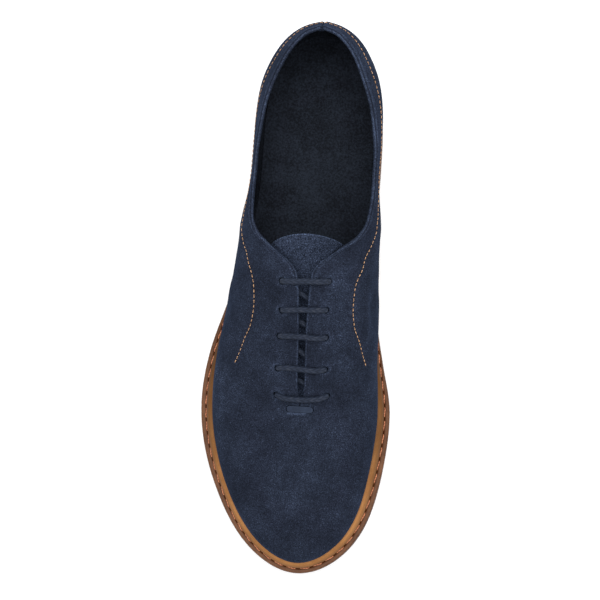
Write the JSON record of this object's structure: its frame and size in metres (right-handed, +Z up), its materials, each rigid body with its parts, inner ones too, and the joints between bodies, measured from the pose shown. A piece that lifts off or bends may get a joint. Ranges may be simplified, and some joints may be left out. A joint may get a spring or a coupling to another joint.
{
  "type": "lace-up suede shoe",
  "caption": "Low suede lace-up shoe for the right foot, with a whole-cut upper, a slit throat laced in straight bars, a tongue, and a layered sole with a low heel.",
  "frame": {"origin": "middle of the shoe's box in plan, on the floor plane that heel and forefoot stand on", "axes": "+X towards the inner (medial) side, +Y from the toe towards the heel, +Z up"},
  "size_m": [0.1054, 0.3032, 0.0902],
  "materials": {
    "sole_rubber": "matte brown rubber",
    "sole_edge": "satin brown sole edge with a stitched ledge",
    "welt_leather": "smooth tan band",
    "sock_lining": "dark matte lining",
    "suede": "navy suede nap",
    "tongue_suede": "navy suede, coarser nap",
    "smooth_leather": "smooth navy leather",
    "lace_cotton": "round braided navy cord"
  },
  "bodies": {
    "root": {"outsole": "sole_rubber", "midsole": "sole_edge", "welt": "welt_leather", "insole": "sock_lining", "upper": "suede", "tongue": "tongue_suede", "throat_bar": "smooth_leather", "lace": "lace_cotton"}
  },
  "joints": []
}
